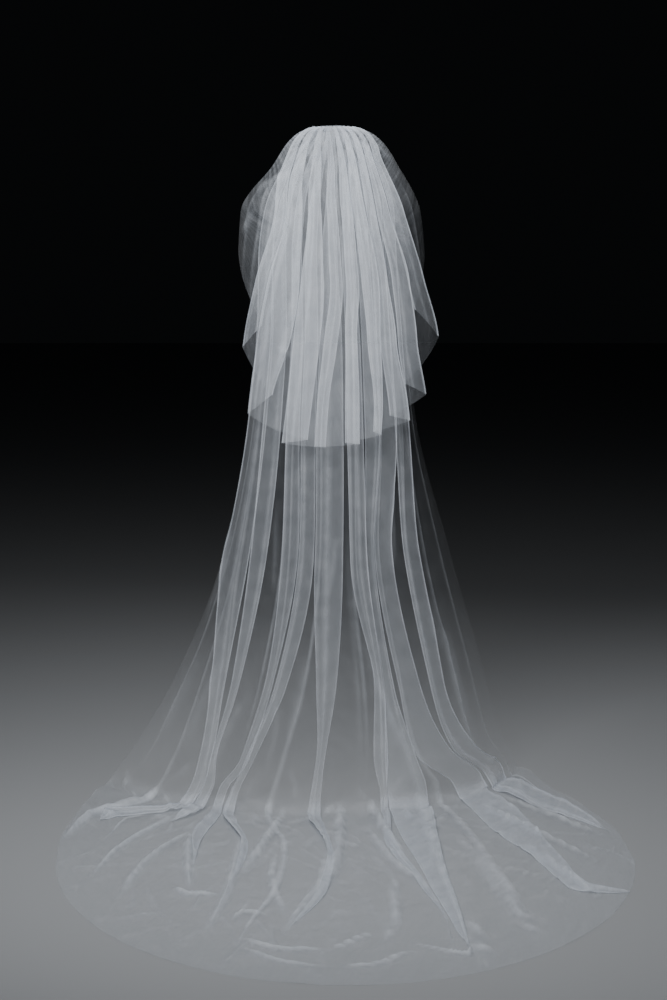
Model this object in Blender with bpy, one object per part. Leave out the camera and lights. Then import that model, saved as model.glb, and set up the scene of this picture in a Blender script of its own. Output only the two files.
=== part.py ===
"""Two-tier bridal veil of plain tulle, gathered to a comb, with a floor-length train.

The veil is modelled as it hangs when worn: the comb is at the origin, the train runs
towards -Y and the open front faces +Y. All lengths are in metres, +Z is up.
"""

import math

import bpy
import numpy as np

# Driving sizes
WALL = 0.001                 # wall of the cloth
SEAM_GAP = 0.0003            # distance kept between neighbouring pieces
FLOOR = -1.64                # floor under a comb worn 1.64 m up
HEADING_WIDTH = 0.106        # gathered edge along the comb
HEADING_DEPTH = 0.0152       # back to front
HEADING_HEIGHT = 0.012
HEADING_RIBS = 28            # gathers that show in the roll
HEADING_SIDES = 10           # sides of the roll's outline
HEADING_GROOVE = 0.84        # size between two gathers, as a share of that on a gather
HEADING_END = 0.72           # size of the roll at its two ends, as a share of that in the middle
HEADING_UNDERSIDE = 0.98     # the underside, sewn flat, keeps this size all along
UNDERSIDE_LEVEL = -0.5       # sine of the angle below which the outline is the underside
HEAD_RADIUS = 0.110          # curve of the comb and heading in plan
COMB_WIDTH = 0.098
COMB_SPINE = (0.0026, 0.0050)  # spine, back to front and height
COMB_TEETH = 20
TOOTH_LENGTH = 0.042
TOOTH_LEAN = 14              # degrees by which the teeth lean forward
TOOTH_RINGS = (              # share of the length passed, share of the width left
    (0.45, 0.85),
    (0.85, 0.60),
    (1.00, 0.25),
)
TOP_EDGE = -HEADING_HEIGHT / 2 - SEAM_GAP - WALL / 2
FLOOR_LAYER = FLOOR + WALL / 2   # middle of the cloth that lies on the floor

# A fold is three layers of cloth between its front line and its back line.
LAYERS_PER_FOLD = 4          # depth of a pleat, in heights of one turn
WHOLE_RUN = -1               # a run of cloth that crosses no layer of a fold
LEAST_OVERLAP = 0.012        # width that a fold keeps where it nearly runs out
BODY_HALF_WIDTH = 0.20       # half width of a tier at which that width holds unscaled
LONGEST_MITER = 1.5          # most that the wall grows at the corner of a turn
LEAST_STAGE = 0.15           # shortest stage of a run between folds, as a share of the run
NORMAL_STEP = 0.002          # step over which the direction of the smooth sheet is taken

# Points between two corners: on the edges, on the run between folds that lean apart, on each
# of the three stages of a run between folds that lean the same way, and on a folded layer
LOWER_POINTS = (5, 4, (1, 0, 1), 2)
UPPER_POINTS = (4, 3, (1, 0, 1), 2)

# Sections of the lower tier, from the gathered edge to the hem of the train. Each row:
# height, half width to the left and right, y of the middle, left and right edge,
# sweep of the curve in degrees, height of one turn of a fold, rows of faces to the next.
SECTION_COLUMNS = ("height", "left", "right", "back", "left_edge", "right_edge",
                   "sweep", "turn", "rows")
LOWER_SECTIONS = (
    (TOP_EDGE, 0.052, 0.052, -0.0022, 0.010, 0.010, 28, 0.0014, 1),   # gather
    (-0.013, 0.053, 0.053, -0.0024, 0.010, 0.010, 29, 0.0014, 1),     # first gathers
    (-0.035, 0.076, 0.078, -0.0200, 0.012, 0.012, 42, 0.0018, 1),     # crown
    (-0.090, 0.122, 0.130, -0.0600, 0.020, 0.020, 60, 0.0030, 2),     # back of head
    (-0.200, 0.172, 0.176, -0.0860, 0.040, 0.040, 72, 0.0034, 1),     # nape
    (-0.310, 0.184, 0.182, -0.0980, 0.055, 0.055, 78, 0.0036, 1),     # shoulders
    (-0.450, 0.184, 0.188, -0.1060, 0.065, 0.065, 80, 0.0038, 2),     # back
    (-0.690, 0.203, 0.205, -0.1220, 0.078, 0.078, 80, 0.0040, 2),     # hip
    (-1.050, 0.275, 0.295, -0.1420, 0.095, 0.100, 76, 0.0042, 2),     # knee
    (-1.360, 0.395, 0.385, -0.1900, 0.075, 0.120, 72, 0.0042, 2),     # shin
    (-1.530, 0.493, 0.430, -0.2450, 0.020, 0.128, 72, 0.0040, 1),     # ankle
    (-1.600, 0.545, 0.465, -0.2850, -0.010, 0.130, 73, 0.0036, 2),    # foot
    (FLOOR_LAYER, 0.579, 0.488, -0.3600, -0.040, 0.130, 70, 0.0030, 2),
    (FLOOR_LAYER, 0.606, 0.560, -0.6000, -0.210, -0.110, 62, 0.0032, 2),
    (FLOOR_LAYER, 0.620, 0.625, -0.9000, -0.360, -0.300, 60, 0.0030, 2),
    (FLOOR_LAYER, 0.626, 0.660, -1.2000, -0.500, -0.480, 62, 0.0030, 2),
    (FLOOR_LAYER, 0.615, 0.665, -1.4700, -0.660, -0.680, 84, 0.0030, 0),
)
UPPER_SECTIONS = (
    (TOP_EDGE, 0.0525, 0.0525, -0.0100, 0.0025, 0.0025, 28, 0.0014, 1),
    (-0.013, 0.056, 0.056, -0.0120, 0.0020, 0.0020, 30, 0.0015, 2),
    (-0.030, 0.098, 0.108, -0.0430, 0.004, 0.004, 50, 0.0022, 2),
    (-0.090, 0.147, 0.158, -0.0900, 0.015, 0.015, 62, 0.0030, 2),
    (-0.200, 0.230, 0.216, -0.1280, 0.040, 0.040, 74, 0.0034, 2),
    (-0.368, 0.240, 0.235, -0.1560, 0.075, 0.072, 80, 0.0038, 2),
    (-0.512, 0.236, 0.262, -0.1720, 0.088, 0.088, 80, 0.0040, 1),
    (-0.664, 0.245, 0.268, -0.1880, 0.095, 0.095, 80, 0.0042, 1),
    (-0.768, 0.250, 0.270, -0.2000, 0.098, 0.098, 80, 0.0042, 0),
)
UPPER_SIDE_HEIGHT = -0.30    # height at which the straight side of the upper tier ends
HEM_ROUNDNESS = 0.90         # 0.5 cuts the hem as half an ellipse, 1 as a parabola
HEM_SHIFT = 0.06             # the cut's lowest place hangs this share left of the middle
HEM_WIDTH_SECTION = 6        # the cloth's width is measured along this section
SHOULDER_SECTION = 4         # rows of faces are level down to this section of the upper tier

# Folds, from left to right. Each row: the side that the fold leans to, the line, and the
# place of that line at each section named by its index, as a share of the half width.
LOWER_FOLD_SECTIONS = (0, 4, 7, 8, 9, 12, 13, 14, 15, 16)
LOWER_FOLDS = (
    ("left", (-0.86, -0.93, -0.97, -0.947, -0.743, -0.62, -0.88, -0.93, -0.94, -0.94),
             (-0.78, -0.80, -0.80, -0.766, -0.672, -0.58, -0.86, -0.91, -0.92, -0.92)),
    ("left", (-0.66, -0.74, -0.79, -0.723, -0.616, -0.55, -0.70, -0.76, -0.78, -0.80),
             (-0.58, -0.62, -0.62, -0.611, -0.579, -0.51, -0.67, -0.74, -0.76, -0.78)),
    ("left", (-0.46, -0.51, -0.52, -0.461, -0.411, -0.46, -0.514, -0.481, -0.50, -0.56),
             (-0.38, -0.41, -0.40, -0.340, -0.370, -0.42, -0.485, -0.481, -0.55, -0.60)),
    ("left", (-0.26, -0.33, -0.36, -0.320, -0.345, -0.41, -0.320, -0.350, -0.42, -0.43),
             (-0.18, -0.21, -0.21, -0.203, -0.281, -0.36, -0.285, -0.322, -0.40, -0.47)),
    ("left", (-0.06, -0.12, -0.19, -0.186, -0.092, -0.03, 0.010, -0.050, -0.18, -0.22),
             (0.02, 0.04, 0.11, 0.047, 0.030, 0.03, 0.045, -0.015, -0.155, -0.26)),
    ("right", (0.20, 0.24, 0.32, 0.245, 0.315, 0.330, 0.275, 0.305, 0.330, 0.30),
              (0.12, 0.11, 0.15, 0.107, 0.266, 0.300, 0.245, 0.285, 0.330, 0.335)),
    ("right", (0.40, 0.43, 0.505, 0.305, 0.380, 0.517, 0.447, 0.390, 0.375, 0.375),
              (0.32, 0.31, 0.360, 0.245, 0.325, 0.340, 0.320, 0.320, 0.345, 0.410)),
    ("right", (0.60, 0.62, 0.70, 0.451, 0.539, 0.794, 0.821, 0.784, 0.838, 0.915),
              (0.52, 0.50, 0.54, 0.320, 0.420, 0.676, 0.672, 0.735, 0.810, 0.905)),
    ("right", (0.80, 0.79, 0.84, 0.683, 0.690, 0.905, 0.935, 0.945, 0.945, 0.960),
              (0.72, 0.68, 0.72, 0.575, 0.620, 0.830, 0.895, 0.920, 0.925, 0.945)),
)
UPPER_FOLD_SECTIONS = (0, 3, 4, 5, 6, 7, 8)
UPPER_FOLDS = (
    ("left", (-0.86, -0.774, -0.575, -0.743, -0.890, -0.945, -0.955),
             (-0.78, -0.670, -0.470, -0.630, -0.775, -0.840, -0.855)),
    ("left", (-0.66, -0.600, -0.443, -0.620, -0.755, -0.803, -0.827),
             (-0.58, -0.480, -0.300, -0.330, -0.464, -0.629, -0.650)),
    ("left", (-0.45, -0.350, -0.230, -0.298, -0.416, -0.454, -0.490),
             (-0.37, -0.220, -0.100, -0.085, -0.178, -0.242, -0.281)),
    ("left", (-0.24, -0.120, -0.040, -0.025, -0.134, -0.185, -0.200),
             (-0.16, -0.020, 0.065, 0.100, -0.008, -0.087, -0.108)),
    ("right", (0.06, 0.145, 0.220, 0.250, 0.166, 0.186, 0.190),
              (-0.02, 0.045, 0.110, 0.135, 0.059, 0.063, 0.068)),
    ("right", (0.27, 0.300, 0.350, 0.440, 0.379, 0.395, 0.375),
              (0.19, 0.190, 0.230, 0.290, 0.272, 0.330, 0.320)),
    ("right", (0.47, 0.440, 0.460, 0.530, 0.525, 0.619, 0.657),
              (0.39, 0.355, 0.380, 0.460, 0.400, 0.470, 0.508)),
    ("right", (0.66, 0.575, 0.600, 0.745, 0.723, 0.798, 0.810),
              (0.58, 0.480, 0.490, 0.600, 0.570, 0.650, 0.680)),
    ("right", (0.86, 0.710, 0.757, 0.900, 0.945, 0.955, 0.960),
              (0.78, 0.620, 0.640, 0.770, 0.800, 0.865, 0.870)),
)


def ease(share):
    """Runs smoothly from 0 to 1 as the share does."""
    share = np.clip(share, 0.0, 1.0)
    return share * share * (3.0 - 2.0 * share)


def curve_through(places, values, wanted):
    """Smooth curve through the values that makes no bulge of its own between them."""
    places = np.asarray(places, float)
    values = np.asarray(values, float)
    steps = np.diff(places)
    rises = np.diff(values) / steps
    slopes = np.zeros_like(values)
    same_way = rises[:-1] * rises[1:] > 0.0
    weights_before = 2.0 * steps[1:] + steps[:-1]
    weights_after = steps[1:] + 2.0 * steps[:-1]
    safe_before = np.where(same_way, rises[:-1], 1.0)
    safe_after = np.where(same_way, rises[1:], 1.0)
    mean = (weights_before + weights_after) / (
        weights_before / safe_before + weights_after / safe_after)
    slopes[1:-1] = np.where(same_way, mean, 0.0)
    slopes[0] = rises[0]
    slopes[-1] = rises[-1]
    wanted = np.clip(wanted, places[0], places[-1])
    span = np.clip(np.searchsorted(places, wanted, side="right") - 1, 0, len(steps) - 1)
    part = (wanted - places[span]) / steps[span]
    low, high = values[span], values[span + 1]
    low_slope, high_slope = slopes[span] * steps[span], slopes[span + 1] * steps[span]
    return (low + part * low_slope
            + part ** 2 * (3.0 * (high - low) - 2.0 * low_slope - high_slope)
            + part ** 3 * (2.0 * (low - high) + low_slope + high_slope))


def make_tier(sections, folds, fold_sections):
    """Collects a tier's tables with the distance along the cloth of each section."""
    table = {name: np.array([row[index] for row in sections], float)
             for index, name in enumerate(SECTION_COLUMNS)}
    table["sweep"] = np.radians(table["sweep"])
    steps = np.hypot(np.diff(table["height"]), np.diff(table["back"]))
    along = np.concatenate([[0.0], np.cumsum(steps)])
    return {"table": table, "along": along, "folds": folds,
            "fold_along": along[list(fold_sections)]}


def section_value(tier, name, along):
    return curve_through(tier["along"], tier["table"][name], along)


def half_width(tier, along):
    return 0.5 * (section_value(tier, "left", along) + section_value(tier, "right", along))


def base_point(tier, across, along):
    """Point of the smooth sheet that the folds lie on; across runs from -1 to 1."""
    left = section_value(tier, "left", along)
    right = section_value(tier, "right", along)
    sweep = section_value(tier, "sweep", along)
    turn = sweep * across
    bow = (np.cos(turn) - np.cos(sweep)) / (1.0 - np.cos(sweep))
    back = section_value(tier, "back", along)
    left_edge = section_value(tier, "left_edge", along)
    right_edge = section_value(tier, "right_edge", along)
    edge = left_edge + (right_edge - left_edge) * (across + 1.0) / 2.0
    x = (right - left) / 2.0 + (right + left) / 2.0 * np.sin(turn) / np.sin(sweep)
    y = edge + (back - edge) * bow
    z = section_value(tier, "height", along)
    return np.stack([x, y, z], axis=-1)


def base_frame(tier, across, along):
    """Directions at a point of the smooth sheet: out of it, and down it square to the rows."""
    last = tier["along"][-1]
    over = (base_point(tier, across + NORMAL_STEP, along)
            - base_point(tier, across - NORMAL_STEP, along))
    down = (base_point(tier, across, np.minimum(along + NORMAL_STEP, last))
            - base_point(tier, across, np.maximum(along - NORMAL_STEP, 0.0)))
    normal = np.cross(down, over)
    normal /= np.linalg.norm(normal, axis=-1, keepdims=True)
    square = np.cross(over, normal)
    return normal, square / np.linalg.norm(square, axis=-1, keepdims=True)


def fold_at(tier, index, along):
    """Front and back line of a fold across the sheet, and the height of one turn."""
    lean, front_shares, back_shares = tier["folds"][index]
    sweep = section_value(tier, "sweep", along)
    front_share = curve_through(tier["fold_along"], front_shares, along)
    back_share = curve_through(tier["fold_along"], back_shares, along)
    front = np.arcsin(front_share * np.sin(sweep)) / sweep
    back = np.arcsin(back_share * np.sin(sweep)) / sweep
    half = half_width(tier, along)
    reach = half * sweep / np.sin(sweep)
    least = LEAST_OVERLAP * np.minimum(1.0, half / BODY_HALF_WIDTH) / reach
    side = 1.0 if lean == "left" else -1.0
    middle = (front + back) / 2.0
    overlap = np.maximum(side * (back - front), least)
    turn = section_value(tier, "turn", along)
    return lean, middle - side * overlap / 2.0, middle + side * overlap / 2.0, turn


def fold_corner(tier, index, place, along):
    """One corner of a fold, in the order in which the cloth passes it from the left."""
    lean, front, back, turn = fold_at(tier, index, along)
    first, second = (back, front) if lean == "left" else (front, back)
    height = (0.0, 1.0, LAYERS_PER_FOLD - 1.0, float(LAYERS_PER_FOLD))[place]
    across = first if place < 2 else second
    return across, turn * (height if lean == "left" else LAYERS_PER_FOLD - height)


def run_between(tier, index, stage, share, along):
    """Point on the cloth between fold index - 1 and fold index.

    The run has three stages: out from under the fold before, across, and over the fold
    after. The share is the part of the stage that is passed.
    """
    count = len(tier["folds"])
    if index == 0:
        start, start_lift = -np.ones_like(along), np.zeros_like(along)
    else:
        start, start_lift = fold_corner(tier, index - 1, 3, along)
    if index == count:
        end, end_lift = np.ones_like(along), np.zeros_like(along)
    else:
        end, end_lift = fold_corner(tier, index, 0, along)
    if stage == WHOLE_RUN:
        return start + (end - start) * share, start_lift + (end_lift - start_lift) * share
    before, before_front, before_back, turn = fold_at(tier, index - 1, along)
    after, after_front, after_back, _ = fold_at(tier, index, along)
    leave = before_back if before == "left" else before_front
    arrive = after_front if after == "left" else after_back
    margin = LEAST_STAGE * (end - start)
    low = np.clip(np.minimum(leave, arrive), start + margin, end - 2.0 * margin)
    high = np.clip(np.maximum(leave, arrive), low + margin, end - margin)
    stops = (start, low, high, end)
    across = stops[stage] + (stops[stage + 1] - stops[stage]) * share
    between = LAYERS_PER_FOLD / 2.0 * turn
    left_behind = np.clip((across - start) / (leave - start), 0.0, 1.0)
    climbed = np.clip((across - arrive) / (end - arrive), 0.0, 1.0)
    lift = (start_lift + (between - start_lift) * left_behind
            + (end_lift - between) * climbed)
    return across, lift


def column_list(tier, edge_points, box_points, run_points, layer_points):
    """Columns of the sheet from the left edge to the right: corners and what lies between.

    Each count is the number of points between two corners. The runs between folds that
    lean the same way have one such number for each of their three stages.
    """
    count = len(tier["folds"])
    columns = [("run", 0, WHOLE_RUN, 0.0)]
    for index in range(count + 1):
        if index in (0, count) or tier["folds"][index - 1][0] != tier["folds"][index][0]:
            inner = edge_points if index in (0, count) else box_points
            columns += [("run", index, WHOLE_RUN, (step + 1) / (inner + 1))
                        for step in range(inner)]
        else:
            for stage, inner in enumerate(run_points):
                columns += [("run", index, stage, (step + 1) / (inner + 1))
                            for step in range(inner)]
                if stage < 2:
                    columns.append(("run", index, stage, 1.0))
        if index < count:
            columns += [("corner", index, 0, 0.0), ("corner", index, 1, 0.0)]
            columns += [("layer", index, 0, (step + 1) / (layer_points + 1))
                        for step in range(layer_points)]
            columns += [("corner", index, 2, 0.0), ("corner", index, 3, 0.0)]
    return columns + [("run", count, WHOLE_RUN, 1.0)]


def column_path(tier, column, along):
    """Place across and lift off the smooth sheet of one column."""
    kind, index, stage, share = column
    if kind == "corner":
        return fold_corner(tier, index, stage, along)
    if kind == "run":
        return run_between(tier, index, stage, share, along)
    start, start_lift = fold_corner(tier, index, 1, along)
    end, end_lift = fold_corner(tier, index, 2, along)
    return start + (end - start) * share, start_lift + (end_lift - start_lift) * share


def sheet_points(tier, columns, along_grid):
    """Middle surface of the pleated cloth, one line of points for each column.

    The second grid is the direction down the smooth sheet at each of these points.
    """
    lines = []
    squares = []
    for column, along in zip(columns, along_grid):
        across, lift = column_path(tier, column, along)
        normal, square = base_frame(tier, across, along)
        lines.append(base_point(tier, across, along) + normal * lift[:, None])
        squares.append(square)
    return np.array(lines), np.array(squares)


def row_places(tier):
    """Distances along the cloth of the rows of faces."""
    places = []
    for start, end, rows in zip(tier["along"][:-1], tier["along"][1:], tier["table"]["rows"]):
        places += [start + (end - start) * step / rows for step in range(int(rows))]
    return np.array(places + [tier["along"][-1]])


def corner_direction(points, axis):
    """Direction of the cloth at each point, halfway between its two edges, and its miter."""
    edges = np.diff(points, axis=axis)
    edges /= np.linalg.norm(edges, axis=-1, keepdims=True)
    first = np.take(edges, [0], axis=axis)
    last = np.take(edges, [-1], axis=axis)
    total = np.concatenate([first, edges], axis) + np.concatenate([edges, last], axis)
    length = np.linalg.norm(total, axis=-1, keepdims=True)
    return total / length, 2.0 / length


def grid_offsets(points, squares):
    """Offset across the wall at each point, lengthened where the cloth turns a corner."""
    over, miter = corner_direction(points, 0)
    down, _ = corner_direction(points, 1)
    normals = np.cross(down + squares, over)
    normals /= np.linalg.norm(normals, axis=-1, keepdims=True)
    return normals * np.minimum(miter, LONGEST_MITER)


def cloth_mesh(name, points, squares):
    """Closed wall of constant thickness round a grid of points."""
    columns, rows = points.shape[:2]
    offset = grid_offsets(points, squares) * WALL / 2.0
    outside = points + offset
    inside = points - offset
    outside[..., 2] = np.maximum(outside[..., 2], FLOOR)
    inside[..., 2] = np.maximum(inside[..., 2], FLOOR)
    vertices = np.concatenate([outside.reshape(-1, 3), inside.reshape(-1, 3)])
    shift = columns * rows
    faces = []
    for column in range(columns - 1):
        for row in range(rows - 1):
            a = column * rows + row
            b = a + rows
            faces.append((a, a + 1, b + 1, b))
            faces.append((a + shift, b + shift, b + 1 + shift, a + 1 + shift))
    rim = [column * rows for column in range(columns)]
    rim += [(columns - 1) * rows + row for row in range(1, rows)]
    rim += [column * rows + rows - 1 for column in range(columns - 2, -1, -1)]
    rim += [row for row in range(rows - 2, 0, -1)]
    for here, after in zip(rim, rim[1:] + rim[:1]):
        faces.append((here, after, after + shift, here + shift))
    mesh = bpy.data.meshes.new(name)
    mesh.from_pydata([tuple(vertex) for vertex in vertices], [], faces)
    mesh.update()
    return mesh


def make_material(name, colour, roughness, metallic=0.0):
    material = bpy.data.materials.new(name)
    material.use_nodes = True
    shader = material.node_tree.nodes["Principled BSDF"]
    shader.inputs["Base Color"].default_value = (*colour, 1.0)
    shader.inputs["Roughness"].default_value = roughness
    shader.inputs["Metallic"].default_value = metallic
    material.diffuse_color = (*colour, 1.0)
    return material


def add_object(name, mesh, material):
    mesh.materials.append(material)
    mesh.shade_smooth()
    mesh.set_sharp_from_angle(angle=math.radians(40))
    thing = bpy.data.objects.new(name, mesh)
    bpy.context.collection.objects.link(thing)
    return thing


def build_lower_tier(material):
    tier = make_tier(LOWER_SECTIONS, LOWER_FOLDS, LOWER_FOLD_SECTIONS)
    columns = column_list(tier, *LOWER_POINTS)
    places = row_places(tier)
    grid = np.tile(places, (len(columns), 1))
    mesh = cloth_mesh("lower_tier", *sheet_points(tier, columns, grid))
    add_object("lower_tier", mesh, material)


def hem_shares(tier, columns, along):
    """Distance of each column from the middle of the cloth, as a share of its half width."""
    grid = np.full((len(columns), 1), along)
    points = sheet_points(tier, columns, grid)[0][:, 0]
    lengths = np.linalg.norm(np.diff(points, axis=0), axis=1)
    travelled = np.concatenate([[0.0], np.cumsum(lengths)])
    return 2.0 * travelled / travelled[-1] - 1.0


def build_upper_tier(material):
    tier = make_tier(UPPER_SECTIONS, UPPER_FOLDS, UPPER_FOLD_SECTIONS)
    columns = column_list(tier, *UPPER_POINTS)
    shares = hem_shares(tier, columns, tier["along"][HEM_WIDTH_SECTION])
    from_lowest = shares + HEM_SHIFT * (1.0 - shares ** 2)
    heights = tier["table"]["height"]
    lowest = heights[-1]
    hem_heights = UPPER_SIDE_HEIGHT + (lowest - UPPER_SIDE_HEIGHT) * np.maximum(
        1.0 - from_lowest ** 2, 0.0) ** HEM_ROUNDNESS
    hems = curve_through(-heights, tier["along"], -hem_heights)
    places = row_places(tier)
    shoulder = tier["along"][SHOULDER_SECTION]
    stretch = (places - shoulder) / (places[-1] - shoulder)
    below = shoulder + (hems[:, None] - shoulder) * stretch[None, :]
    grid = np.where(places <= shoulder, places, below)
    mesh = cloth_mesh("upper_tier", *sheet_points(tier, columns, grid))
    add_object("upper_tier", mesh, material)


def head_curve(x, y):
    """Moves a point of a straight bar onto the curve of the comb in plan."""
    angle = x / HEAD_RADIUS
    radius = HEAD_RADIUS - y
    return radius * math.sin(angle), HEAD_RADIUS - radius * math.cos(angle)


def build_heading(material):
    """Ribbed roll: one wave of the outline for each gather, flattened at both ends."""
    sections = 2 * HEADING_RIBS + 1
    around = HEADING_SIDES
    centre = -COMB_SPINE[0] / 2 - SEAM_GAP - HEADING_DEPTH / 2
    vertices = []
    for section in range(sections):
        share = section / (sections - 1)
        x = (share - 0.5) * HEADING_WIDTH
        ridge = 1.0 if section % 2 else HEADING_GROOVE
        taper = HEADING_END + (1.0 - HEADING_END) * math.sin(math.pi * share) ** 0.25
        for step in range(around):
            angle = 2.0 * math.pi * step / around
            depth = HEADING_DEPTH / 2 * taper * math.cos(angle)
            lift = HEADING_HEIGHT / 2 * taper * math.sin(angle)
            grow = ridge if math.sin(angle) > UNDERSIDE_LEVEL else HEADING_UNDERSIDE
            px, py = head_curve(x, centre + depth * grow)
            vertices.append((px, py, lift * grow))
    faces = []
    for section in range(sections - 1):
        for step in range(around):
            a = section * around + step
            b = section * around + (step + 1) % around
            faces.append((a, b, b + around, a + around))
    faces.append(tuple(range(around - 1, -1, -1)))
    faces.append(tuple(range((sections - 1) * around, sections * around)))
    mesh = bpy.data.meshes.new("gathered_heading")
    mesh.from_pydata(vertices, [], faces)
    mesh.update()
    add_object("gathered_heading", mesh, material)


def build_comb(material):
    """Curved spine with tapered teeth that lean forward into the hair."""
    thick, tall = COMB_SPINE
    stations = 2 * COMB_TEETH + 1
    lean = math.tan(math.radians(TOOTH_LEAN))
    vertices = []
    faces = []
    for station in range(stations + 1):
        x = (station / stations - 0.5) * COMB_WIDTH
        for y, z in ((-thick / 2, tall / 2), (-thick / 2, -tall / 2),
                     (thick / 2, -tall / 2), (thick / 2, tall / 2)):
            vertices.append((*head_curve(x, y), z))
    for station in range(stations):
        a = station * 4
        b = a + 4
        faces += [(a, a + 1, b + 1, b), (a + 2, a + 3, b + 3, b + 2), (a + 3, a, b, b + 3)]
        if station % 2 == 0:
            faces.append((a + 1, a + 2, b + 2, b + 1))
            continue
        ring = [a + 1, a + 2, b + 2, b + 1]
        x = ((station + 0.5) / stations - 0.5) * COMB_WIDTH
        pitch = COMB_WIDTH / stations
        for drop, share in TOOTH_RINGS:
            half_x = pitch / 2 * share
            half_y = thick / 2 * share
            depth = drop * TOOTH_LENGTH
            z = -tall / 2 - depth
            forward = depth * lean
            first = len(vertices)
            for sx, sy in ((-1, -1), (-1, 1), (1, 1), (1, -1)):
                vertices.append((*head_curve(x + sx * half_x, forward + sy * half_y), z))
            fresh = [first, first + 1, first + 2, first + 3]
            for side in range(4):
                after = (side + 1) % 4
                faces.append((ring[side], ring[after], fresh[after], fresh[side]))
            ring = fresh
        faces.append(tuple(ring))
    end = stations * 4
    faces.append((3, 2, 1, 0))
    faces.append((end, end + 1, end + 2, end + 3))
    mesh = bpy.data.meshes.new("comb")
    mesh.from_pydata(vertices, [], faces)
    mesh.update()
    add_object("comb", mesh, material)


def main():
    for thing in list(bpy.data.objects):
        bpy.data.objects.remove(thing, do_unlink=True)
    tulle = make_material("white_tulle", (0.86, 0.88, 0.91), 0.6)
    gathers = make_material("gathered_tulle", (0.88, 0.89, 0.92), 0.65)
    plastic = make_material("clear_white_plastic", (0.78, 0.79, 0.80), 0.3)
    build_lower_tier(tulle)
    build_upper_tier(tulle.copy())
    build_heading(gathers)
    build_comb(plastic)


main()
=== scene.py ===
import math

import bpy
import numpy as np
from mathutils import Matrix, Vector


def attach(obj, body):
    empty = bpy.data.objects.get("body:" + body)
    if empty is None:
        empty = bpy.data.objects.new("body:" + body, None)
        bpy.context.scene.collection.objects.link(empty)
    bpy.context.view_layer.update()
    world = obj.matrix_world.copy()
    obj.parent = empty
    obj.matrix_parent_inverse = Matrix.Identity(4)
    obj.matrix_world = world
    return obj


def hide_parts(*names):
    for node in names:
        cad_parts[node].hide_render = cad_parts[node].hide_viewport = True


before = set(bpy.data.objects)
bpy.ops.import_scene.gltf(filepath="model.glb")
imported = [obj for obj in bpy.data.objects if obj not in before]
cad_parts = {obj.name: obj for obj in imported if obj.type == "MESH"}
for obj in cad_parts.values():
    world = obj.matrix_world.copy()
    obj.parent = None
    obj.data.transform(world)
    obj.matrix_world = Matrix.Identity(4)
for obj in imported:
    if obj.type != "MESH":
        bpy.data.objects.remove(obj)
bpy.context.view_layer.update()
print("frame loaded")


# Small tools
def hexToLinear(code):
    values = []
    for start in (1, 3, 5):
        part = int(code[start:start + 2], 16) / 255.0
        values.append(part / 12.92 if part <= 0.04045 else ((part + 0.055) / 1.055) ** 2.4)
    return (*values, 1.0)


def addNode(tree, kind, settings=None, values=None, links=None):
    node = tree.nodes.new(kind)
    for name, value in (settings or {}).items():
        setattr(node, name, value)
    for socket, value in (values or {}).items():
        node.inputs[socket].default_value = value
    for socket, source in (links or {}).items():
        tree.links.new(source, node.inputs[socket])
    return node


def ease(share):
    share = np.clip(share, 0.0, 1.0)
    return share * share * (3.0 - 2.0 * share)


def curveThrough(places, values, wanted):   # smooth, with no bulge of its own between values
    places = np.asarray(places, float)
    values = np.asarray(values, float)
    steps = np.diff(places)
    rises = np.diff(values) / steps
    slopes = np.zeros_like(values)
    sameWay = rises[:-1] * rises[1:] > 0.0
    before = 2.0 * steps[1:] + steps[:-1]
    after = steps[1:] + 2.0 * steps[:-1]
    mean = (before + after) / (before / np.where(sameWay, rises[:-1], 1.0)
                               + after / np.where(sameWay, rises[1:], 1.0))
    slopes[1:-1] = np.where(sameWay, mean, 0.0)
    slopes[0], slopes[-1] = rises[0], rises[-1]
    wanted = np.clip(wanted, places[0], places[-1])
    span = np.clip(np.searchsorted(places, wanted, side="right") - 1, 0, len(steps) - 1)
    part = (wanted - places[span]) / steps[span]
    low, high = values[span], values[span + 1]
    lowSlope, highSlope = slopes[span] * steps[span], slopes[span + 1] * steps[span]
    return (low + part * lowSlope + part ** 2 * (3.0 * (high - low) - 2.0 * lowSlope - highSlope)
            + part ** 3 * (2.0 * (low - high) + lowSlope + highSlope))


# Camera, at the photo's viewing angle
photoView = {
    "place": (0.0, -5.0, -0.34),    # metres from the comb, 1.3 m above the floor
    "pitchDown": 6.6,               # degrees
    "focalLength": 72.2,            # mm, on a 36 mm high picture
    "sensor": 36.0,
}
cameraData = bpy.data.cameras.new("photoCamera")
cameraData.lens = photoView["focalLength"]
cameraData.sensor_width = photoView["sensor"]
camera = bpy.data.objects.new("photoCamera", cameraData)
camera.location = photoView["place"]
camera.rotation_euler = (math.radians(90.0 - photoView["pitchDown"]), 0.0, 0.0)
bpy.context.scene.collection.objects.link(camera)
bpy.context.scene.camera = camera

floorHeight = -1.64
floorLayer = floorHeight + 0.0005

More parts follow.
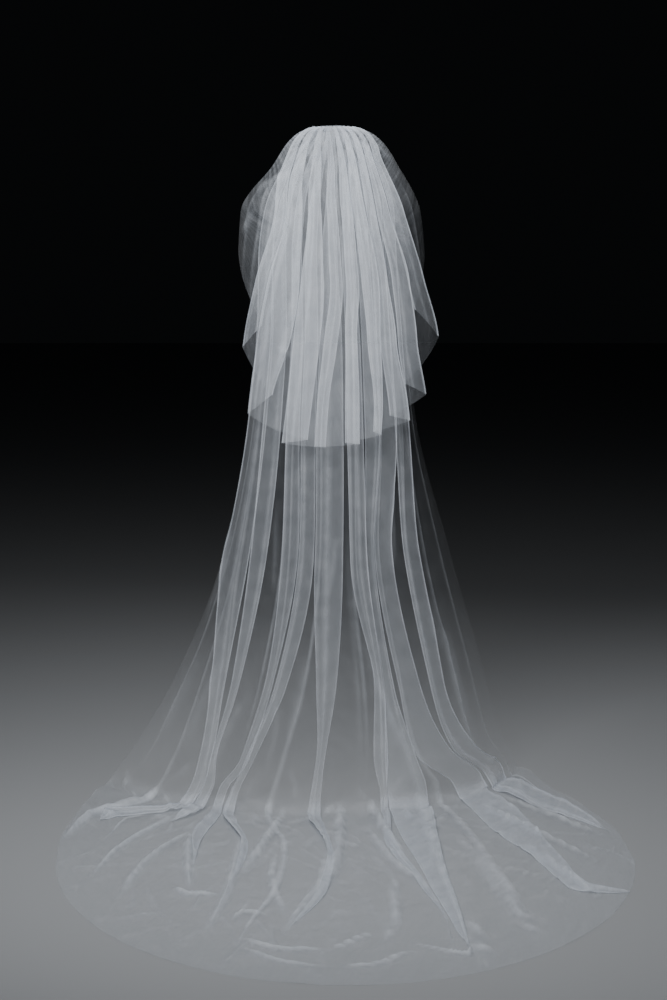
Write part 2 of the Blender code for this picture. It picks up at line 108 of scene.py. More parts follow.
# The long tier. A section row: height, half width left and right, y of the middle, left edge
# and right edge, sweep of the curve in degrees, height of one turn of a fold.
lowerTier = {
    "name": "lowerTulle",
    "cut": (1.8, 2.85),             # width and length of the panel before it was gathered
    "sections": (
        (-0.0068, 0.052, 0.052, -0.0022, 0.010, 0.010, 28, 0.0014),
        (-0.013, 0.053, 0.053, -0.0024, 0.010, 0.010, 29, 0.0014),
        (-0.035, 0.076, 0.078, -0.0200, 0.012, 0.012, 42, 0.0018),
        (-0.090, 0.122, 0.130, -0.0600, 0.020, 0.020, 60, 0.0030),
        (-0.200, 0.172, 0.176, -0.0860, 0.040, 0.040, 72, 0.0034),
        (-0.310, 0.184, 0.182, -0.0980, 0.055, 0.055, 78, 0.0036),
        (-0.450, 0.184, 0.188, -0.1060, 0.065, 0.065, 80, 0.0038),
        (-0.690, 0.203, 0.205, -0.1220, 0.078, 0.078, 80, 0.0040),
        (-1.050, 0.275, 0.295, -0.1420, 0.095, 0.100, 76, 0.0042),
        (-1.360, 0.395, 0.385, -0.1900, 0.075, 0.120, 72, 0.0042),
        (-1.530, 0.493, 0.430, -0.2450, 0.020, 0.128, 72, 0.0040),
        (-1.600, 0.545, 0.465, -0.2850, -0.010, 0.130, 73, 0.0036),
        (floorLayer, 0.579, 0.488, -0.3600, -0.040, 0.130, 70, 0.0030),
        (floorLayer, 0.606, 0.560, -0.6000, -0.210, -0.110, 62, 0.0032),
        (floorLayer, 0.620, 0.625, -0.9000, -0.360, -0.300, 60, 0.0030),
        (floorLayer, 0.626, 0.660, -1.2000, -0.500, -0.480, 62, 0.0030),
        (floorLayer, 0.615, 0.665, -1.4700, -0.660, -0.680, 84, 0.0030),
    ),
    # Each fold: lean, then the shares of the half width at which its front and its back lie
    "foldSections": (0, 4, 7, 8, 9, 10, 11, 12, 13, 14, 15, 16),
    "folds": (
        ("left", (-0.86, -0.93, -0.97, -0.947, -0.743, -0.628, -0.600, -0.62, -0.90, -0.90, -0.91, -0.91),
                 (-0.78, -0.80, -0.80, -0.766, -0.672, -0.575, -0.550, -0.58, -0.85, -0.95, -0.96, -0.96)),
        ("left", (-0.66, -0.74, -0.79, -0.723, -0.616, -0.570, -0.539, -0.55, -0.66, -0.72, -0.74, -0.76),
                 (-0.58, -0.62, -0.62, -0.611, -0.579, -0.545, -0.500, -0.51, -0.69, -0.78, -0.80, -0.82)),
        ("left", (-0.46, -0.51, -0.52, -0.461, -0.411, -0.412, -0.463, -0.46, -0.514, -0.490, -0.50, -0.53),
                 (-0.38, -0.41, -0.40, -0.340, -0.370, -0.375, -0.430, -0.42, -0.475, -0.500, -0.56, -0.60)),
        ("left", (-0.26, -0.33, -0.36, -0.320, -0.345, -0.386, -0.400, -0.41, -0.320, -0.350, -0.40, -0.41),
                 (-0.18, -0.21, -0.21, -0.203, -0.281, -0.349, -0.370, -0.36, -0.292, -0.350, -0.46, -0.48)),
        ("left", (-0.06, -0.12, -0.19, -0.186, -0.092, -0.024, -0.028, -0.03, 0.010, -0.050, -0.17, -0.22),
                 (0.02, 0.04, 0.11, 0.047, 0.030, 0.021, 0.020, 0.03, 0.036, -0.022, -0.18, -0.28)),
        ("right", (0.20, 0.24, 0.32, 0.245, 0.315, 0.347, 0.330, 0.330, 0.275, 0.305, 0.330, 0.30),
                  (0.12, 0.11, 0.15, 0.107, 0.266, 0.280, 0.301, 0.300, 0.245, 0.285, 0.330, 0.335)),
        ("right", (0.40, 0.43, 0.505, 0.305, 0.380, 0.491, 0.515, 0.517, 0.447, 0.390, 0.375, 0.375),
                  (0.32, 0.31, 0.360, 0.245, 0.325, 0.340, 0.335, 0.340, 0.320, 0.320, 0.345, 0.410)),
        ("right", (0.60, 0.62, 0.70, 0.451, 0.539, 0.680, 0.788, 0.794, 0.800, 0.775, 0.775, 0.930),
                  (0.52, 0.50, 0.54, 0.320, 0.420, 0.510, 0.655, 0.676, 0.665, 0.700, 0.735, 0.930)),
        ("right", (0.80, 0.79, 0.84, 0.683, 0.690, 0.806, 0.900, 0.905, 0.957, 0.970, 0.975, 0.980),
                  (0.72, 0.68, 0.72, 0.575, 0.620, 0.710, 0.825, 0.830, 0.890, 0.946, 0.985, 0.990)),
    ),
    "rowSpacing": (0.022, 0.0083),  # metres between rows where it hangs, and where it lies
    "closeSection": 9,              # rows lie close together from this section on
    "edgePoints": 30,
    "runPoints": 20,
    "layerPoints": 4,
    "gathers": {"count": 64, "seed": 11, "depth": 0.0030, "reach": (0.25, 1.5)},
    # Creases on the hanging cloth: height, width, then points as (x, z)
    "hangingCreases": (
        (0.005, 0.006, ((-0.260, -0.95), (-0.275, -1.06), (-0.298, -1.15), (-0.34, -1.26))),
        (0.007, 0.008, ((-0.201, -1.37), (-0.240, -1.43), (-0.283, -1.52), (-0.309, -1.59))),
        (0.005, 0.006, ((-0.140, -0.90), (-0.142, -1.00), (-0.151, -1.17))),
        (0.006, 0.007, ((-0.140, -1.36), (-0.139, -1.45), (-0.156, -1.52), (-0.168, -1.58))),
        (0.005, 0.006, ((0.009, -0.98), (-0.001, -1.07), (-0.019, -1.15))),
        (0.006, 0.006, ((0.035, -0.95), (0.038, -1.10), (0.050, -1.21), (0.061, -1.39), (0.070, -1.61))),
        (0.005, 0.005, ((0.147, -0.85), (0.148, -1.10))),
        (0.009, 0.012, ((0.232, -1.14), (0.260, -1.23), (0.291, -1.29), (0.316, -1.39), (0.367, -1.57))),
        (0.006, 0.008, ((0.060, -1.20), (0.100, -1.33), (0.150, -1.45), (0.200, -1.56))),
        (0.006, 0.008, ((-0.060, -1.25), (-0.090, -1.40), (-0.130, -1.53))),
        (0.006, 0.010, ((-0.330, -1.30), (-0.390, -1.42), (-0.450, -1.54))),
        (0.006, 0.010, ((-0.280, -1.30), (-0.330, -1.42), (-0.380, -1.54))),
    ),
    # Creases on the floor: height, width, then points as (x, y)
    "floorCreases": (
        (0.011, 0.007, ((-0.209, -0.45), (-0.215, -0.70), (-0.222, -0.90), (-0.260, -1.24))),
        (0.014, 0.007, ((-0.110, -0.28), (-0.120, -0.34), (-0.156, -0.56), (-0.200, -0.83))),
        (0.009, 0.006, ((-0.162, -0.64), (-0.128, -0.66), (-0.133, -0.79), (-0.093, -1.12))),
        (0.011, 0.007, ((-0.340, -0.88), (-0.298, -0.94), (-0.229, -0.93))),
        (0.009, 0.008, ((-0.195, -1.20), (-0.085, -1.28), (0.012, -1.28))),
        (0.008, 0.007, ((-0.192, -1.25), (-0.076, -1.36), (0.012, -1.38))),
        (0.008, 0.006, ((-0.203, -1.12), (-0.185, -1.06), (-0.122, -1.08))),
        (0.014, 0.007, ((0.070, -0.16), (0.110, -0.42), (0.166, -0.71))),
        (0.011, 0.007, ((0.072, -0.41), (0.133, -0.72), (0.208, -0.92))),
        (0.012, 0.007, ((0.251, -0.47), (0.306, -0.63), (0.341, -0.89), (0.397, -1.19), (0.437, -1.29))),
        (0.008, 0.006, ((0.253, -1.09), (0.274, -1.15), (0.293, -1.40))),
        (0.009, 0.006, ((0.139, -1.23), (0.254, -1.31), (0.273, -1.21))),
        (0.009, 0.006, ((-0.007, -1.29), (0.082, -1.17))),
        (0.009, 0.006, ((-0.007, -1.38), (0.082, -1.36), (0.154, -1.29), (0.179, -1.29))),
        (0.009, 0.006, ((0.131, -0.77), (0.124, -1.09), (0.093, -1.28))),
        (0.016, 0.008, ((0.018, -0.18), (0.015, -0.53), (0.003, -0.76), (-0.036, -1.00))),
        (0.011, 0.006, ((-0.008, -0.61), (-0.029, -0.87), (-0.066, -1.03), (-0.106, -1.21))),
        (0.015, 0.007, ((-0.333, -0.45), (-0.322, -0.70), (-0.301, -0.91))),
        (0.016, 0.009, ((-0.330, -0.05), (-0.593, -0.37), (-0.625, -0.56))),
        (0.009, 0.007, ((-0.350, -0.30), (-0.470, -0.55), (-0.530, -0.85))),
        (0.008, 0.007, ((-0.300, -0.40), (-0.420, -0.72), (-0.450, -1.00))),
        (0.011, 0.007, ((0.330, -0.20), (0.450, -0.45), (0.600, -0.75))),
        (0.009, 0.007, ((0.390, -0.15), (0.520, -0.35), (0.640, -0.55))),
        (0.009, 0.007, ((0.420, -0.55), (0.500, -0.80), (0.560, -1.00))),
    ),
    # Short creases strewn on the train, in a fan behind the comb: metres and radians
    "wrinkles": {
        "count": 95, "seed": 5, "height": (0.002, 0.006), "width": (0.005, 0.007), "length": (0.12, 0.40),
        "nearest": 0.35, "reach": 1.0, "fan": 1.25, "fanShape": (0.55, 1.1), "source": 0.1,
        "turn": 0.7, "bend": 0.25,
    },
    # Crumples and billows where the cloth meets the floor, which is at the section named
    "foot": {
        "section": 12, "crumples": 60, "seed": 8, "across": (-0.58, 0.50), "beyond": (-0.16, 0.22),
        "height": (0.004, 0.009), "width": (0.005, 0.007), "length": (0.04, 0.13),
        "turn": 0.7, "fan": 0.8, "wander": 0.01,
        "billow": 0.011, "waves": 14, "waveLength": (0.09, 0.32), "waveTurn": 0.9,
        "rise": 0.18, "fade": 0.30, "remains": 0.15,
    },
    "crumpled": 3.6,                # layers added on the floor, denser than life so that the train shows
    "bendWeight": (0.8, 3.6),       # how strongly fold edges show where it hangs, and where it lies
}

upperTier = {
    "name": "upperTulle",
    "cut": (1.5, 0.81),
    "sections": (
        (0.0010, 0.0545, 0.0545, -0.0125, 0.0010, 0.0010, 28, 0.0014),
        (-0.0040, 0.074, 0.078, -0.0190, 0.0005, 0.0005, 36, 0.0016),
        (-0.026, 0.104, 0.114, -0.0440, 0.004, 0.004, 50, 0.0022),
        (-0.090, 0.149, 0.160, -0.0900, 0.015, 0.015, 62, 0.0030),
        (-0.200, 0.230, 0.216, -0.1280, 0.040, 0.040, 74, 0.0034),
        (-0.368, 0.240, 0.235, -0.1560, 0.075, 0.072, 80, 0.0038),
        (-0.512, 0.236, 0.262, -0.1720, 0.088, 0.088, 80, 0.0040),
        (-0.664, 0.245, 0.268, -0.1880, 0.095, 0.095, 80, 0.0042),
        (-0.768, 0.250, 0.270, -0.2000, 0.098, 0.098, 80, 0.0042),
    ),
    "foldSections": (0, 3, 4, 5, 6, 7, 8),
    "folds": (
        ("left", (-0.86, -0.774, -0.575, -0.743, -0.890, -0.945, -0.955),
                 (-0.78, -0.670, -0.470, -0.630, -0.775, -0.840, -0.855)),
        ("left", (-0.66, -0.600, -0.443, -0.620, -0.755, -0.803, -0.827),
                 (-0.58, -0.480, -0.300, -0.330, -0.464, -0.629, -0.650)),
        ("left", (-0.45, -0.350, -0.230, -0.298, -0.416, -0.454, -0.490),
                 (-0.37, -0.220, -0.100, -0.085, -0.178, -0.242, -0.281)),
        ("left", (-0.24, -0.120, -0.040, -0.025, -0.134, -0.185, -0.200),
                 (-0.16, -0.020, 0.065, 0.100, -0.008, -0.087, -0.108)),
        ("right", (0.06, 0.145, 0.220, 0.250, 0.166, 0.186, 0.190),
                  (-0.02, 0.045, 0.110, 0.135, 0.059, 0.063, 0.068)),
        ("right", (0.27, 0.300, 0.350, 0.440, 0.379, 0.395, 0.375),
                  (0.19, 0.190, 0.230, 0.290, 0.272, 0.330, 0.320)),
        ("right", (0.47, 0.440, 0.460, 0.530, 0.525, 0.619, 0.657),
                  (0.39, 0.355, 0.380, 0.460, 0.400, 0.470, 0.508)),
        ("right", (0.66, 0.575, 0.600, 0.745, 0.723, 0.798, 0.810),
                  (0.58, 0.480, 0.490, 0.600, 0.570, 0.650, 0.680)),
        ("right", (0.86, 0.710, 0.757, 0.900, 0.945, 0.955, 0.960),
                  (0.78, 0.620, 0.640, 0.770, 0.800, 0.865, 0.870)),
    ),
    "rowSpacing": (0.0075, 0.0075),
    "closeSection": 4,
    "edgePoints": 16,
    "runPoints": 14,
    "layerPoints": 7,
    "gathers": {"count": 54, "seed": 3, "depth": 0.0025, "reach": (0.15, 0.9)},
    "hangingCreases": (
        (0.004, 0.006, ((-0.140, -0.528), (-0.096, -0.555))),
        (0.003, 0.005, ((0.089, -0.633), (0.100, -0.69), (0.113, -0.76))),
        (0.003, 0.005, ((0.075, -0.64), (0.092, -0.71), (0.090, -0.75))),
        (0.006, 0.008, ((-0.108, -0.107), (-0.143, -0.124), (-0.196, -0.156))),
        (0.005, 0.007, ((-0.152, -0.134), (-0.174, -0.185))),
        (0.005, 0.007, ((-0.191, -0.187), (-0.228, -0.260))),
        (0.004, 0.006, ((0.096, -0.032), (0.152, -0.085))),
    ),
    "floorCreases": (),
    "sideHeight": -0.30,            # the straight side ends here and the oval hem starts
    "crumpled": 0.0,
    "bendWeight": (0.45, 0.45),
    "hemRoundness": 0.90,
    "hemShift": -0.06,              # the cut's middle hangs a little left of the comb's middle
    "levelSection": 4,              # rows are level down to the shoulders
}
sectionNames = ("height", "left", "right", "back", "leftEdge", "rightEdge", "sweep", "turn")
layersPerFold = 4                   # depth of a pleat, in heights of one turn
fullOverlap, flatOverlap = 0.026, -0.012   # metres of overlap where a fold is full, and gone
bodyHalfWidth = 0.20
openTurn = 0.004                    # half width of a turn that has opened out flat
turnAngles = ((-90, 0.2), (-50, 0.7), (0, 1.0), (50, 0.7), (90, 0.2))   # round a fold's bend
# How sharply the cloth bends, from 0 to 1: a folded edge is 1
layerBend = 0.14                    # between a fold's edges, where finer pleats aren't modelled
innerBend = 0.50                    # a pressed line along a fold
runBend = 0.35                      # a soft crease between two folds
runCrease = {"height": 0.003, "ends": (0.55, 1.0), "fade": 0.35, "start": 0.08, "rise": 0.25}
measuredSection = -3                # the cloth's full width is measured along this section
lyingFrom, lyingBlend = -1.60, 0.04     # height at which the cloth starts to lie, and its blend
clearOfFloor = 0.0004
mostLayers = 9.0                    # gathers at the comb count as no more layers than this
fullCrease = 0.007                  # a crease this high or higher shows at its full strength
placedBend = (0.15, 1.05)           # listed creases: on the hanging cloth, and more on the floor
strewnBend = (0.12, 0.28)           # strewn creases, the same way


def readTier(tier):
    table = {name: np.array([row[index] for row in tier["sections"]], float)
             for index, name in enumerate(sectionNames)}
    table["sweep"] = np.radians(table["sweep"])
    steps = np.hypot(np.diff(table["height"]), np.diff(table["back"]))
    tier["table"] = table
    tier["along"] = np.concatenate([[0.0], np.cumsum(steps)])
    tier["foldAlong"] = tier["along"][list(tier["foldSections"])]


def sectionValue(tier, name, along):
    return curveThrough(tier["along"], tier["table"][name], along)


def basePoint(tier, across, along):         # the smooth sheet that the folds lie on
    left, right = sectionValue(tier, "left", along), sectionValue(tier, "right", along)
    sweep = sectionValue(tier, "sweep", along)
    bow = (np.cos(sweep * across) - np.cos(sweep)) / (1.0 - np.cos(sweep))
    leftEdge, rightEdge = sectionValue(tier, "leftEdge", along), sectionValue(tier, "rightEdge", along)
    edge = leftEdge + (rightEdge - leftEdge) * (across + 1.0) / 2.0
    x = (right - left) / 2.0 + (right + left) / 2.0 * np.sin(sweep * across) / np.sin(sweep)
    y = edge + (sectionValue(tier, "back", along) - edge) * bow
    return np.stack([x, y, sectionValue(tier, "height", along)], axis=-1)


def baseNormal(tier, across, along):
    step = 0.002
    over = basePoint(tier, across + step, along) - basePoint(tier, across - step, along)
    down = (basePoint(tier, across, np.minimum(along + step, tier["along"][-1]))
            - basePoint(tier, across, np.maximum(along - step, 0.0)))
    normal = np.cross(down, over)
    return normal / np.linalg.norm(normal, axis=-1, keepdims=True)


def foldAt(tier, index, along):
    lean, frontShares, backShares = tier["folds"][index]
    sweep = sectionValue(tier, "sweep", along)
    front = np.arcsin(curveThrough(tier["foldAlong"], frontShares, along) * np.sin(sweep)) / sweep
    back = np.arcsin(curveThrough(tier["foldAlong"], backShares, along) * np.sin(sweep)) / sweep
    half = 0.5 * (sectionValue(tier, "left", along) + sectionValue(tier, "right", along))
    reach = half * sweep / np.sin(sweep)
    scale = np.minimum(1.0, half / bodyHalfWidth)
    overlap = (back - front if lean == "left" else front - back) * reach / scale
    fullness = ease((overlap - flatOverlap) / (fullOverlap - flatOverlap))
    spread = openTurn * scale / reach * ease(-overlap / -flatOverlap)
    turn = sectionValue(tier, "turn", along) * fullness
    return {"lean": lean, "front": front, "back": back, "turn": turn, "spread": spread,
            "radius": turn / 2.0 / reach, "fullness": fullness}


def turnPoint(tier, index, second, angle, along):   # a point round one bend of a fold
    fold = foldAt(tier, index, along)
    line = fold["front"] if (fold["lean"] == "left") == second else fold["back"]
    bulge = fold["radius"] * (1.0 - math.cos(math.radians(angle)))
    across = line + (bulge if second else -bulge) + fold["spread"] * angle / 90.0
    height = (layersPerFold - 1.0) * second + (1.0 + math.sin(math.radians(angle))) / 2.0
    return across, fold["turn"] * (height if fold["lean"] == "left" else layersPerFold - height)


def layerPoint(tier, index, share, along):
    start, startLift = turnPoint(tier, index, False, 90, along)
    end, endLift = turnPoint(tier, index, True, -90, along)
    return start + (end - start) * share, startLift + (endLift - startLift) * share


def runPoint(tier, index, share, along):    # from fold index - 1 to fold index
    count = len(tier["folds"])
    start, startLift = ((-np.ones_like(along), np.zeros_like(along)) if index == 0
                        else turnPoint(tier, index - 1, True, 90, along))
    end, endLift = ((np.ones_like(along), np.zeros_like(along)) if index == count
                    else turnPoint(tier, index, False, -90, along))
    across = start + (end - start) * share
    if index in (0, count):
        return across, startLift + (endLift - startLift) * share
    before, after = foldAt(tier, index - 1, along), foldAt(tier, index, along)
    leave = before["back"] if before["lean"] == "left" else before["front"]
    arrive = after["front"] if after["lean"] == "left" else after["back"]
    left = np.clip((across - start) / np.maximum(leave - start, 0.01), 0.0, 1.0)
    climbed = np.clip((across - arrive) / np.maximum(end - arrive, 0.01), 0.0, 1.0)
    middle = layersPerFold / 4.0 * (before["turn"] + after["turn"])
    return across, startLift + (middle - startLift) * left + (endLift - middle) * climbed


def columnPlan(tier):       # the columns of the sheet from its left edge to its right
    # each column: the rule that places it, the rule's facts, how sharply the cloth bends there
    count = len(tier["folds"])
    plan = []
    for index in range(count + 1):
        inner = tier["edgePoints"] if index in (0, count) else tier["runPoints"]
        first = 0 if index == 0 else 1
        last = inner + 1 if index == count else inner
        creased = ((inner // 3, 2 * inner // 3) if index in (0, count)
                   else (inner * (1 + index % 3) // 4,))
        plan += [(runPoint, (index, step / (inner + 1)), runBend if step in creased else 0.0)
                 for step in range(first, last + 1)]
        if index < count:
            plan += [(turnPoint, (index, False, angle), bend) for angle, bend in turnAngles]
            plan += [(layerPoint, (index, (step + 1) / (tier["layerPoints"] + 1)),
                      innerBend if (index + step) % 5 == 1 else layerBend)
                     for step in range(tier["layerPoints"])]
            plan += [(turnPoint, (index, True, angle), bend) for angle, bend in turnAngles]
    return plan


def clothShares(tier, plan, along):         # place in the cut, from -1 to 1, of each column
    spot = np.array([along])
    places = []
    for rule, facts, _ in plan:
        across, lift = rule(tier, *facts, spot)
        places.append(basePoint(tier, across, spot)[0] + baseNormal(tier, across, spot)[0] * lift[0])
    travelled = np.concatenate([[0.0], np.cumsum(np.linalg.norm(np.diff(places, axis=0), axis=1))])
    return 2.0 * travelled / travelled[-1] - 1.0


def rowPlaces(tier):
    wide, close = tier["rowSpacing"]
    total, lies = tier["along"][-1], tier["along"][tier["closeSection"]]
    hanging, lying = int(round(lies / wide)), int(round((total - lies) / close))
    return np.concatenate([lies * np.arange(hanging) / hanging,
                           lies + (total - lies) * np.arange(lying + 1) / lying])


def ridge(u, v, points, height, width, taper=0.35):
    # height of a soft crease along a smooth line through the points
    points = np.array(points, float)
    stops = np.concatenate([[0.0], np.cumsum(np.linalg.norm(np.diff(points, axis=0), axis=1))])
    fine = np.linspace(0.0, stops[-1], 3 * len(points))
    path = np.stack([curveThrough(stops, points[:, 0], fine),
                     curveThrough(stops, points[:, 1], fine)], axis=-1)
    margin = 3.0 * width
    near = ((u > path[:, 0].min() - margin) & (u < path[:, 0].max() + margin)
            & (v > path[:, 1].min() - margin) & (v < path[:, 1].max() + margin))
    best = np.full(near.sum(), 1e9)
    place = np.zeros(near.sum())
    pu, pv = u[near], v[near]
    for start, end, began in zip(path[:-1], path[1:], fine[:-1]):
        step = end - start
        length = np.hypot(*step)
        share = np.clip(((pu - start[0]) * step[0] + (pv - start[1]) * step[1]) / length ** 2, 0.0, 1.0)
        away = np.hypot(pu - start[0] - share * step[0], pv - start[1] - share * step[1])
        closer = away < best
        best = np.where(closer, away, best)
        place = np.where(closer, began + share * length, place)
    passed = place / stops[-1]
    ends = ease(passed / taper) * ease((1.0 - passed) / taper)
    lift = np.zeros_like(u)
    lift[near] = height * np.exp(-(best / width) ** 1.5) * ends
    return lift


def joined(first, second):      # creases that cross don't pile up
    return (first ** 3 + second ** 3) ** (1.0 / 3.0)


# How the gathers vary: how far one strays from its even place, width and depth as shares of an
# even one's, sway as a share of the half width, and the metres over which one swells up
gatherLook = {"stray": 0.35, "width": (0.22, 0.42), "depth": (0.35, 1.0), "sway": 0.012,
              "swayPace": 3.0, "swell": 0.05}


def gatherLift(spec, shares, along):        # fine gathers that run down from the comb
    rng = np.random.default_rng(spec["seed"])
    lift = np.zeros(along.shape)
    for index in range(spec["count"]):
        stray = gatherLook["stray"] * rng.uniform(-1, 1)
        middle = -1.0 + 2.0 * (index + 0.5 + stray) / spec["count"]
        width = 2.0 / spec["count"] * rng.uniform(*gatherLook["width"])
        depth = spec["depth"] * rng.uniform(*gatherLook["depth"])
        reach = spec["reach"][0] + (spec["reach"][1] - spec["reach"][0]) * rng.uniform() ** 2
        sway = gatherLook["sway"] * rng.uniform(-1, 1)
        away = shares[:, None] - middle - sway * np.sin(along / reach * gatherLook["swayPace"])
        swell = ease(along / gatherLook["swell"])
        lift += depth * np.exp(-(away / width) ** 2) * ease(1.0 - along / reach) * swell
    return lift


def wrinkleLift(spec, points):      # short soft creases strewn over the train
    rng = np.random.default_rng(spec["seed"])
    lift = np.zeros(points.shape[:2])
    for _ in range(spec["count"]):
        turn = rng.uniform(-spec["fan"], spec["fan"])
        away = spec["nearest"] + spec["reach"] * rng.uniform() ** 0.7
        x, y = spec["fanShape"][0] * away * math.sin(turn), -away * math.cos(turn) * spec["fanShape"][1]
        heading = math.atan2(x, -y - spec["source"]) + rng.uniform(-spec["turn"], spec["turn"])
        length = rng.uniform(*spec["length"])
        bend = rng.uniform(-spec["bend"], spec["bend"])
        path = []
        for share in (-0.5, 0.0, 0.5):
            angle = heading + bend * share
            path.append((x + math.sin(angle) * length * share, y - math.cos(angle) * length * share))
        lift = joined(lift, ridge(points[..., 0], points[..., 1], path, rng.uniform(*spec["height"]),
                                  rng.uniform(*spec["width"])))
    return lift


def footLift(spec, x, beyond):      # crumples where the cloth meets the floor
    rng = np.random.default_rng(spec["seed"])
    lift = np.zeros(x.shape)
    for _ in range(spec["crumples"]):
        start = (rng.uniform(*spec["across"]), rng.uniform(*spec["beyond"]))
        heading = rng.uniform(-spec["turn"], spec["turn"]) + spec["fan"] * start[0]
        length = rng.uniform(*spec["length"])
        middle = (start[0] + 0.5 * length * math.sin(heading) + rng.uniform(-spec["wander"], spec["wander"]),
                  start[1] + 0.5 * length * math.cos(heading))
        end = (start[0] + length * math.sin(heading), start[1] + length * math.cos(heading))
        lift = joined(lift, ridge(x, beyond, (start, middle, end), rng.uniform(*spec["height"]),
                                  rng.uniform(*spec["width"])))
    return lift


def billowLift(spec, x, beyond):    # loose billows of the train, largest near the foot
    rng = np.random.default_rng(spec["seed"] + 1)
    billow = np.zeros(x.shape)
    for _ in range(spec["waves"]):
        wave = 2.0 * math.pi / rng.uniform(*spec["waveLength"])
        turn = rng.uniform(-spec["waveTurn"], spec["waveTurn"])
        billow += np.sin(wave * (x * math.cos(turn) + beyond * math.sin(turn)) + rng.uniform(0, 6.28))
    sinking = np.exp(-np.maximum(beyond, 0) / spec["fade"])
    fade = np.where(beyond < 0.0, ease(1.0 + beyond / spec["rise"]),
                    spec["remains"] + (1.0 - spec["remains"]) * sinking)
    return spec["billow"] * np.clip(billow / 5.0, 0.0, 1.0) * fade


def gridFaces(columns, rows, first=0):
    index = first + np.arange(columns * rows).reshape(columns, rows)
    corners = (index[:-1, :-1], index[:-1, 1:], index[1:, 1:], index[1:, :-1])
    return np.stack(corners, axis=-1).reshape(-1, 4)


def clothMesh(name, points, faces, flat, density, bends):
    # flat: each point's place in the cut, in metres; density and bends drive the cloth's cover
    mesh = bpy.data.meshes.new(name)
    mesh.from_pydata(points.tolist(), [], faces.tolist())
    layer = mesh.uv_layers.new(name="clothMetres")
    loops = np.zeros(len(mesh.loops), np.int32)
    mesh.loops.foreach_get("vertex_index", loops)
    layer.data.foreach_set("uv", flat[loops].astype(np.float32).ravel())
    for label, values in (("gathered", density), ("bent", bends)):
        attribute = mesh.attributes.new(label, "FLOAT", "POINT")
        attribute.data.foreach_set("value", values.ravel().astype(np.float32))
    mesh.shade_smooth()
    mesh.update()
    thing = bpy.data.objects.new(name, mesh)
    bpy.context.scene.collection.objects.link(thing)
    return thing


def sheetArea(points):
    over = points[1:, :-1] - points[:-1, :-1]
    down = points[:-1, 1:] - points[:-1, :-1]
    return float(np.linalg.norm(np.cross(over, down), axis=-1).sum())


def buildTier(tier):
    readTier(tier)
    plan = columnPlan(tier)
    places = rowPlaces(tier)
    shares = clothShares(tier, plan, tier["along"][measuredSection])
    if "sideHeight" in tier:                # the hem of the short tier is cut as an oval
        heights = tier["table"]["height"]
        fromMiddle = shares - tier["hemShift"] * (1.0 - shares ** 2)
        drop = np.maximum(1.0 - fromMiddle ** 2, 0.0) ** tier["hemRoundness"]
        hems = curveThrough(-heights, tier["along"],
                            -(tier["sideHeight"] + (heights[-1] - tier["sideHeight"]) * drop))
        level = tier["along"][tier["levelSection"]]
        stretch = (places - level) / (places[-1] - level)
        grid = np.where(places <= level, places, level + (hems[:, None] - level) * stretch[None, :])
    else:
        grid = np.tile(places, (len(plan), 1))
    lines, normals, bends = [], [], []
    rng = np.random.default_rng(tier["gathers"]["seed"])
    for (rule, facts, bend), along in zip(plan, grid):
        across, lift = rule(tier, *facts, along)
        strength = bend + 0.0 * along
        if rule is not runPoint:
            strength = bend * foldAt(tier, facts[0], along)["fullness"]
        elif bend:
            ends = tier["along"][-1] * rng.uniform(*runCrease["ends"])
            strength = (bend * ease((ends - along) / runCrease["fade"])
                        * ease((along - runCrease["start"]) / runCrease["rise"]))
            lift = lift + runCrease["height"] * strength / runBend
        bends.append(strength)
        normal = baseNormal(tier, across, along)
        lines.append(basePoint(tier, across, along) + normal * lift[:, None])
        normals.append(normal)
    points, normals = np.array(lines), np.array(normals)
    print(tier["name"], "grid", points.shape[:2])
    extra = 0.0 * grid
    onFloor = 0.0 * grid
    if tier["floorCreases"]:
        onFloor = ease((lyingFrom - points[..., 2]) / lyingBlend)
    for height, width, path in tier["hangingCreases"]:
        crease = ridge(points[..., 0], points[..., 2], path, height, width)
        extra = joined(extra, crease * (1.0 - onFloor))
    for height, width, path in tier["floorCreases"]:
        crease = ridge(points[..., 0], points[..., 1], path, height, width)
        extra = joined(extra, crease * onFloor)
    placed = np.clip(extra / fullCrease, 0.0, 1.0) * (placedBend[0] + placedBend[1] * onFloor)
    if "wrinkles" in tier:
        extra = joined(extra, wrinkleLift(tier["wrinkles"], points) * onFloor)
        beyond = grid - tier["along"][tier["foot"]["section"]]
        extra = joined(extra, footLift(tier["foot"], points[..., 0], beyond))
    strewn = np.clip(extra / fullCrease, 0.0, 1.0) * (strewnBend[0] + strewnBend[1] * onFloor)
    creased = np.maximum(placed, strewn)
    extra += gatherLift(tier["gathers"], shares, grid)
    if "foot" in tier:
        extra += billowLift(tier["foot"], points[..., 0], beyond)
    points = points + normals * extra[..., None]
    points[..., 2] = np.maximum(points[..., 2], floorHeight + clearOfFloor)
    steps = np.linalg.norm(np.diff(points, axis=0), axis=-1)
    across = np.concatenate([np.zeros((1, points.shape[1])), np.cumsum(steps, axis=0)])
    layers = np.clip(tier["cut"][0] / across[-1], 1.0, mostLayers)
    density = layers * (1.0 + tier["crumpled"] * onFloor)
    flat = np.stack([across - across[-1] / 2.0, grid], axis=-1)
    print(tier["name"], "area", round(sheetArea(points), 3), "gathered", density[0, ::20].round(1))
    hangs, lies = tier["bendWeight"]
    bends = np.array(bends) * (hangs + (lies - hangs) * onFloor) + creased
    return clothMesh(tier["name"], points.reshape(-1, 3), gridFaces(*points.shape[:2]),
                     flat.reshape(-1, 2), density, bends)


lower = buildTier(lowerTier)
upper = buildTier(upperTier)
print("tiers built")

